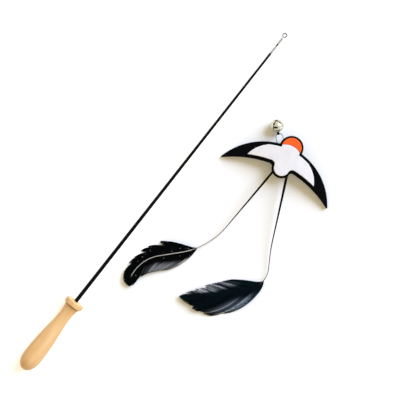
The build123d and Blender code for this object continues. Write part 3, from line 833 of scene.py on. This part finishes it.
def smooth_run(points, steps):
    """Points sampled on a smooth curve through a lock's outline."""
    ends = [points[0], *points, points[-1]]
    samples = []
    for before, start, stop, after in zip(ends, ends[1:], ends[2:], ends[3:]):
        for step in range(steps):
            t = step / steps
            samples.append(tuple(
                0.5 * (
                    2 * b
                    + (c - a) * t
                    + (2 * a - 5 * b + 4 * c - d) * t * t
                    + (3 * b - a - 3 * c + d) * t ** 3
                )
                for a, b, c, d in zip(before, start, stop, after)
            ))
    return samples + [points[-1]]


def evenly(points, spacing, scales):
    """The same run with its points a fixed distance apart, measured in millimetres."""
    kept, spare = [points[0]], 0.0
    for start, stop in zip(points, points[1:]):
        run = math.hypot(*((b - a) * s for a, b, s in zip(start, stop, scales)))
        travelled = spacing - spare
        while run > 0 and travelled <= run:
            share = travelled / run
            kept.append(tuple(a + (b - a) * share for a, b in zip(start, stop)))
            travelled += spacing
        spare = run - (travelled - spacing)
    return kept


def vane_edge(feather, locks, spacing, vane):
    """A vane's edge as close points: each lock's smooth outline, and straight splits between locks."""
    scales = (vane, feather["reach"])
    edge = []
    for lock in locks:
        if edge:
            edge += evenly([edge[-1], lock[0]], spacing, scales)[1:]
        edge += evenly(smooth_run(lock, EDGE_STEPS), spacing, scales)
    return edge


def barb_guides(feather, look):
    """Guide lines of a vane's barbs, side by side, from the rachis out to the edge over its camber."""
    draw = random.Random(look.seed)
    start = feather["vane_start"]
    vane = route_length(feather) - start
    base, tip = route_point(feather, start)[0], route_point(feather, start + vane)[0]
    chord = (tip - base).normalized()
    across = Vector((-chord.y, chord.x))
    middle = base + across * feather["camber_aside"]
    guides = []
    for side, (name, sign) in enumerate((("outer", -1), ("inner", 1))):
        half = []
        edge = vane_edge(feather, feather[name], look.barb_spacing / MM, vane)
        for rank, (share, width_share) in enumerate(edge):
            if rank % BARBS_TOGETHER == 0:
                shade = draw.random()
            fray = feather["fray"][name] * min(max((share - FRAY_FROM) / FRAY_SPAN, 0.0), 1.0)
            shortest = BARB_SHORTEST - FRAY_SHORTER * fray
            longest = BARB_LONGEST + FRAY_LONGER * fray
            width = width_share * feather["reach"] * draw.uniform(shortest, longest)
            lean = BARB_LEAN + TIP_LEAN * share + draw.uniform(-LEAN_DRIFT, LEAN_DRIFT)
            far = share * vane + draw.uniform(-END_DRIFT, END_DRIFT)
            near = max(far - abs(width) * lean, FIRST_ROOT + ROOT_SPREAD * far)
            stray = draw.uniform(-END_DRIFT, END_DRIFT) * (1 + TIP_STRAY * share)
            line = []
            for step in range(BARB_STEPS + 1):
                t = step / BARB_STEPS
                out = sign * (width * (1 - (1 - t) ** BARB_BEND) + stray * t ** STRAY_POWER)
                place, heading = route_point(feather, start + near + (far - near) * t)
                place = place + Vector((-math.sin(heading), math.cos(heading))) * out
                aside = (place - middle).dot(across)
                height = VANE_CREST - VANE_THICKNESS / 2 - CAMBER_RADIUS
                height += math.sqrt(max(CAMBER_RADIUS ** 2 - aside * aside, 0.0))
                height += BARB_UNEVENNESS * (shade - 0.5)
                line.append((place.x * MM, place.y * MM, max(height, LOWEST_BARB) * MM))
            half.append((line, shade, share, WEB_STEPS - round(LOOSE_STEPS * fray)))
        guides.append((side, half))
    return guides


def guide_mesh(name, guides, woven):
    """The guide lines as one mesh, with each barb's shade, side, share of the vane and share along it.

    Woven, neighbouring barbs are joined by faces as far as the barbules hold them. Otherwise each
    barb is a line.
    """
    points, edges, faces = [], [], []
    values = {"barb_along": [], "barb_shade": [], "barb_side": [], "barb_share": []}
    for side, half in guides:
        for rank, (line, shade, share, held) in enumerate(half):
            first = len(points)
            points += line
            for step in range(BARB_STEPS):
                here = first + step
                edges.append((here, here + 1))
                if rank and step < held:
                    back = here - BARB_STEPS - 1
                    corners = (back, back + 1, here + 1, here)
                    faces.append(corners if side else corners[::-1])
            values["barb_along"] += [step / BARB_STEPS for step in range(BARB_STEPS + 1)]
            values["barb_shade"] += [shade] * (BARB_STEPS + 1)
            values["barb_side"] += [side] * (BARB_STEPS + 1)
            values["barb_share"] += [share] * (BARB_STEPS + 1)
    mesh = bpy.data.meshes.new(name)
    mesh.from_pydata(points, [] if woven else edges, faces if woven else [])
    for label, column in values.items():
        mesh.attributes.new(label, "FLOAT", "POINT").data.foreach_set("value", column)
    if woven:
        trim = bmesh.new()
        trim.from_mesh(mesh)
        loose = [vertex for vertex in trim.verts if not vertex.link_faces]
        bmesh.ops.delete(trim, geom=loose, context="VERTS")
        trim.to_mesh(mesh)
        trim.free()
    return mesh


# The felt's shapes

def felt_layer(node, finishes, look):
    """A felt layer: the node's shape with a soft cut edge and a slightly uneven face."""
    name, slot, flat, area, under = FELT_LAYERS[node]
    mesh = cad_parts[node].data.copy()
    shell = bmesh.new()
    shell.from_mesh(mesh)
    bmesh.ops.remove_doubles(shell, verts=shell.verts, dist=0.001 * MM)
    shell.to_mesh(mesh)
    shell.free()
    piece = new_object(name, mesh)
    remesh = piece.modifiers.new("Felt", "REMESH")
    remesh.mode = "VOXEL"
    remesh.voxel_size = look.voxel
    remesh.use_smooth_shade = True
    soft = piece.modifiers.new("Cut edge", "SMOOTH")
    soft.factor = 0.5
    soft.iterations = look.passes
    settle(piece)
    normals = [vertex.normal.copy() for vertex in piece.data.vertices]
    for vertex, normal in zip(piece.data.vertices, normals):
        lump = sum(share * noise.noise(vertex.co / (width * MM)) for width, share in FELT_LUMPS)
        place = vertex.co + normal * lump * look.lump
        vertex.co = (place.x, place.y, max(place.z, 0.0))
    piece.data.materials.clear()
    piece.data.materials.append(finishes[slot])
    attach(piece, "toy")
    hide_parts(node)


# The stage's parts

def overhead_camera(scene, look):
    """A camera straight over the floor."""
    lens = bpy.data.cameras.new("overhead_camera")
    lens.sensor_fit = "HORIZONTAL"
    lens.angle = 2 * math.atan(look.view_width / 2 / look.camera_height)
    camera = new_object("overhead_camera", lens)
    right_x, right_y = VIEW_RIGHT
    camera.matrix_world = Matrix((
        (right_x, -right_y, 0.0, look.camera_x),
        (right_y, right_x, 0.0, look.camera_y),
        (0.0, 0.0, 1.0, look.camera_height),
        (0.0, 0.0, 0.0, 1.0),
    ))
    scene.camera = camera


def paper_floor(look):
    """A plain paper floor.

    The photograph is over-exposed beside the wand, so the floor glows there and little shadow shows.
    """
    low = -FLOOR_DROP * MM
    around = ((-1, -1), (1, -1), (1, 1), (-1, 1))
    mesh = bpy.data.meshes.new("paper_floor")
    mesh.from_pydata([(x * FLOOR_REACH, y * FLOOR_REACH, low) for x, y in around], [], [(0, 1, 2, 3)])
    floor = new_object("paper_floor", mesh)
    material, tree, shader, place = start_material("paper_floor", Roughness=0.9)
    shader.inputs["Base Color"].default_value = rgba(look.floor)
    shader.inputs["Emission Color"].default_value = WHITE
    path = add(tree, "ShaderNodeLightPath")
    seen = add(
        tree, "ShaderNodeMath", {0: path.outputs["Is Camera Ray"], 1: path.outputs["Is Glossy Ray"]},
        operation="MAXIMUM",
    )
    across = add(tree, "ShaderNodeSeparateXYZ", {0: place})
    exposure = add(
        tree, "ShaderNodeMapRange",
        {
            "Value": across.outputs[1], "From Min": GLOW_FROM * MM, "From Max": GLOW_TO * MM,
            "To Min": GLOW_LEAST, "To Max": GLOW_MOST,
        },
    )
    glow = add(
        tree, "ShaderNodeMath", {0: seen.outputs[0], 1: exposure.outputs[0]}, operation="MULTIPLY"
    )
    tree.links.new(glow.outputs[0], shader.inputs["Emission Strength"])
    mesh.materials.append(material)


def window_light(look):
    """Soft daylight from one side."""
    sun = bpy.data.lights.new("window", "SUN")
    sun.energy = look.key_energy
    sun.color = look.key
    sun.angle = WINDOW_SPREAD
    lamp = new_object("window", sun)
    level = math.cos(WINDOW_HEIGHT)
    towards = Vector((
        math.cos(WINDOW_BEARING) * level,
        math.sin(WINDOW_BEARING) * level,
        math.sin(WINDOW_HEIGHT),
    ))
    lamp.rotation_euler = (-towards).to_track_quat("-Z", "Y").to_euler()


def studio_room(scene, look):
    """Warm light from all round, and the room as the camera and polished metal see it."""
    world = bpy.data.worlds.new("studio")
    scene.world = world
    world.use_nodes = True
    tree = world.node_tree
    tree.nodes.clear()
    way = add(tree, "ShaderNodeTexCoord").outputs["Generated"]
    room = WHITE
    for place, full, gone, tone in ROOM_PATCHES:
        facing = add(tree, "ShaderNodeVectorMath", {0: way, 1: place}, operation="DOT_PRODUCT")
        patch = add(
            tree, "ShaderNodeMapRange",
            {
                "Value": facing.outputs["Value"], "From Min": math.cos(math.radians(gone)),
                "From Max": math.cos(math.radians(full)),
            },
        )
        room = add(
            tree, "ShaderNodeMix", {0: patch.outputs[0], 6: room, 7: tone}, data_type="RGBA"
        ).outputs[2]
    path = add(tree, "ShaderNodeLightPath")
    seen = path.outputs["Is Camera Ray"]
    for kind in ("Is Glossy Ray", "Is Transmission Ray"):
        seen = add(
            tree, "ShaderNodeMath", {0: seen, 1: path.outputs[kind]}, operation="MAXIMUM"
        ).outputs[0]
    shown = add(tree, "ShaderNodeBackground", {"Color": room})
    lit = add(tree, "ShaderNodeBackground", {"Color": rgba(look.ambient)})
    light = add(tree, "ShaderNodeMixShader", {0: seen, 1: lit.outputs[0], 2: shown.outputs[0]})
    add(tree, "ShaderNodeOutputWorld", {"Surface": light.outputs[0]})


# Steps

class TEASER_OT_stage(bpy.types.Operator):
    """Lay the floor, set the soft light and place the camera over the wand"""

    bl_idname = "teaser.stage"
    bl_label = "Stage"

    def execute(self, context):
        scene = context.scene
        look = scene.teaser_stage
        scene.view_settings.view_transform = "Standard"
        overhead_camera(scene, look)
        paper_floor(look)
        window_light(look)
        studio_room(scene, look)
        return {"FINISHED"}


class TEASER_OT_cord(bpy.types.Operator):
    """Hang the cord loop through the bell's eye and whip its strands together"""

    bl_idname = "teaser.cord"
    bl_label = "Cord loop"

    def execute(self, context):
        look = context.scene.teaser_cord
        thread = spun_cotton("whipping_thread", look.black, look.thread, look.black)
        whipping = grow(
            new_object("loop_whipping", bpy.data.meshes.new("loop_whipping")),
            whipping_tree(),
            {
                "Turns": float(look.turns),
                "Coil Radius": (look.whipping_width - look.thread) / 2,
                "Coil Height": look.whipping_length - look.thread,
                "Thread Radius": look.thread / 2,
                "End Turns": (look.whipping_width - look.thread) / 2 / look.thread,
                "Material": thread,
            },
        )
        turn = Vector((0, 0, 1)).rotation_difference(WHIPPING_WAY).to_matrix().to_4x4()
        seat = Matrix.Translation((0, 0, (look.thread - look.whipping_length) / 2))
        whipping.data.transform(Matrix.Translation(WHIPPING_PLACE * MM) @ turn @ seat)
        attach(whipping, "toy")
        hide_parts("loop_knot")

        line = bpy.data.curves.new("cord_strand", "CURVE")
        line.dimensions = "3D"
        line.bevel_depth = look.diameter / 2
        line.bevel_resolution = 4
        line.use_fill_caps = True
        spline = line.splines.new("NURBS")
        spline.points.add(len(CORD_ROUTE) - 1)
        for point, place in zip(spline.points, CORD_ROUTE):
            point.co = (*(value * MM for value in place), 1.0)
        spline.order_u = 3
        spline.use_endpoint_u = True
        spline.resolution_u = 16
        line.materials.append(spun_cotton("cotton_cord", look.grey, look.diameter / 3, look.black))
        strand = new_object("cord_strand", line)
        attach(strand, "toy")
        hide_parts("cord_loop")
        return {"FINISHED"}


class TEASER_OT_vanes(bpy.types.Operator):
    """Grow the barbs of both vanes along the quills, and the web of barbules between them"""

    bl_idname = "teaser.vanes"
    bl_label = "Feather vanes"

    def execute(self, context):
        look = context.scene.teaser_feathers
        tree = barb_tree()
        # A patch: its colour, the vane's side (1 is the inner), its range along the vane and along each
        # barb, and the shade from which barbs show it, with its strength
        finishes = {
            "left": barbs_dye_and_sheen("slate_barbs", look, look.black, [
                (look.slate, 1, (0.28, 0.74), (0.5, 1.0), (0.1, 0.9)),
                (look.down, 1, (0.3, 0.6), (0.4, 0.6), (0.92, 2.0)),
            ], 0.7),
            # The right vane's barbs carry a painted teal sheen.
            "right": barbs_dye_and_sheen("teal_sheen_barbs", look, look.teal, [
                # A painted steel-blue sheen on the inner half
                (look.steel, 1, (0.40, 0.70), (0.3, 0.85), (0.0, 1.0)),
                (look.slate, 0, (0.5, 0.95), (0.5, 1.0), (0.6, 1.1)),
                (look.down, 0, (0.6, 0.85), (0.7, 1.0), (0.9, 1.0)),
                (look.down, 1, (0.5, 0.8), (0.3, 0.9), (0.95, 3.0)),
            ], 0.0),
        }
        for side, feather in FEATHERS.items():
            guides = barb_guides(feather, look)
            web = new_object(f"{side}_vane_web", guide_mesh(f"{side}_vane_web", guides, True))
            web.data.materials.append(finishes[side])
            wall = web.modifiers.new("Barbules", "SOLIDIFY")
            wall.thickness = look.web
            wall.offset = 0.0
            settle(web)
            barbs = grow(
                new_object(f"{side}_vane_barbs", guide_mesh(f"{side}_vane_barbs", guides, False)),
                tree,
                {
                    "Barb Width": look.barb_width,
                    "Barb Thickness": look.barb_thickness,
                    "Tip Share": look.barb_tip,
                    "Material": finishes[side],
                },
            )
            for piece in (barbs, web):
                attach(piece, "toy")
                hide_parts(f"{side}_vane")
        return {"FINISHED"}


class TEASER_OT_quills(bpy.types.Operator):
    """Finish the two stripped quills"""

    bl_idname = "teaser.quills"
    bl_label = "Quills"

    def execute(self, context):
        look = context.scene.teaser_feathers
        for side, rachis_hue in (("left", look.rachis_pale), ("right", look.black)):
            finish = quill_keratin(f"{side}_quill_keratin", look, FEATHERS[side], rachis_hue)
            dress(finish, f"{side}_quill")
        return {"FINISHED"}


class TEASER_OT_bird(bpy.types.Operator):
    """Lay up the bird's felt sheets and panels"""

    bl_idname = "teaser.bird"
    bl_label = "Felt bird"

    def execute(self, context):
        look = context.scene.teaser_felt
        finishes = {
            "black_felt": wool_felt("black_wool_felt", look.black, look),
            "white_felt": wool_felt("white_wool_felt", look.white, look),
            "orange_felt": wool_felt("orange_wool_felt", look.orange, look),
        }
        for node in FELT_LAYERS:
            felt_layer(node, finishes, look)
        return {"FINISHED"}


class TEASER_OT_bell(bpy.types.Operator):
    """Plate the jingle bell, its eye and its pellet"""

    bl_idname = "teaser.bell"
    bl_label = "Jingle bell"

    def execute(self, context):
        look = context.scene.teaser_wand
        plate = polished_metal("bell_nickel_plate", look.bell_nickel)
        dress(plate, "bell_cap", "bell_cup", "bell_eye", "bell_pellet")
        return {"FINISHED"}


class TEASER_OT_wand(bpy.types.Operator):
    """Finish the handle and the rod"""

    bl_idname = "teaser.wand"
    bl_label = "Handle and rod"

    def execute(self, context):
        look = context.scene.teaser_wand
        dress(turned_beech(look), "handle")
        dress(pultruded_fibreglass(look), "rod")
        return {"FINISHED"}


class TEASER_OT_tip(bpy.types.Operator):
    """Finish the ferrule, the swivel and the ring"""

    bl_idname = "teaser.tip"
    bl_label = "Tip fittings"

    def execute(self, context):
        look = context.scene.teaser_wand
        dress(polished_metal("fitting_nickel_plate", look.nickel), "tip_ferrule", "swivel_barrel")
        dress(polished_metal("bare_steel_wire", look.wire), "tip_ring")
        dress(blackened_steel(look), "swivel_pin")
        return {"FINISHED"}


class TEASER_PT_panel(bpy.types.Panel):
    """Sizes, finishes and steps of the teaser wand"""

    bl_idname = "TEASER_PT_panel"
    bl_label = "Teaser Wand"
    bl_space_type = "VIEW_3D"
    bl_region_type = "UI"
    bl_category = "Teaser"

    def draw(self, context):
        for step in STEPS:
            self.layout.operator(step.bl_idname)
        for name in SETTINGS:
            settings = getattr(context.scene, name)
            box = self.layout.box()
            for key in settings.bl_rna.properties.keys():
                if key not in {"rna_type", "name"}:
                    box.prop(settings, key)


STEPS = (
    TEASER_OT_stage,
    TEASER_OT_cord,
    TEASER_OT_vanes,
    TEASER_OT_quills,
    TEASER_OT_bird,
    TEASER_OT_bell,
    TEASER_OT_wand,
    TEASER_OT_tip,
)
SETTINGS = {
    "teaser_stage": TeaserStage,
    "teaser_cord": TeaserCord,
    "teaser_feathers": TeaserFeathers,
    "teaser_felt": TeaserFelt,
    "teaser_wand": TeaserWand,
}


def register():
    """Adds the classes, and the settings to the scene."""
    for made in (*SETTINGS.values(), *STEPS, TEASER_PT_panel):
        bpy.utils.register_class(made)
    for name, group in SETTINGS.items():
        setattr(bpy.types.Scene, name, bpy.props.PointerProperty(type=group))


def unregister():
    """Takes the settings and the classes away again."""
    for name in SETTINGS:
        delattr(bpy.types.Scene, name)
    for made in (TEASER_PT_panel, *STEPS, *SETTINGS.values()):
        bpy.utils.unregister_class(made)


def main():
    """Runs every step."""
    register()
    bpy.ops.teaser.stage()
    bpy.ops.teaser.cord()
    bpy.ops.teaser.vanes()
    bpy.ops.teaser.quills()
    bpy.ops.teaser.bird()
    bpy.ops.teaser.bell()
    bpy.ops.teaser.wand()
    bpy.ops.teaser.tip()


if __name__ == "__main__":
    main()
